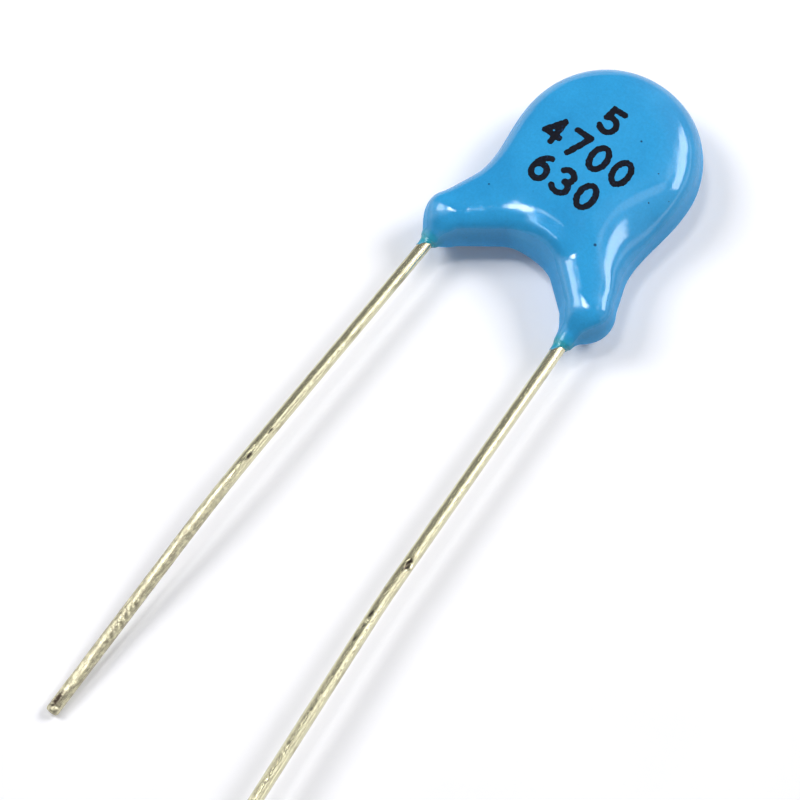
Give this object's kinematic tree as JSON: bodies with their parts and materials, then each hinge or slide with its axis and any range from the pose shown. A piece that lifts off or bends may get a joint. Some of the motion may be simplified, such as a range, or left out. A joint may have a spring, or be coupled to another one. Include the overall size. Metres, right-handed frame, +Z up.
{
  "type": "ceramic disc capacitor",
  "caption": "Radial-lead ceramic disc capacitor: a dipped blue disc with flared legs on a pair of tinned wire leads.",
  "frame": {"origin": "under the centre of the disc, on the surface that the part lies on", "axes": "+Z up through the disc, the leads run towards -Y, +X to the right seen from above with the leads pointing down"},
  "size_m": [0.0108, 0.0387, 0.0036],
  "materials": {
    "epoxy_coating": "glossy sky-blue dipped epoxy",
    "ceramic": "fired, matt tan",
    "fired_silver": "thin fired silver",
    "solder": "dull solder",
    "tinned_wire": "tinned wire, warm silver with fine scratches"
  },
  "bodies": {
    "root": {"coating": "epoxy_coating", "ceramic_disc": "ceramic", "upper_electrode": "fired_silver", "lower_electrode": "fired_silver", "upper_solder": "solder", "lower_solder": "solder", "left_lead": "tinned_wire", "right_lead": "tinned_wire"}
  },
  "joints": []
}
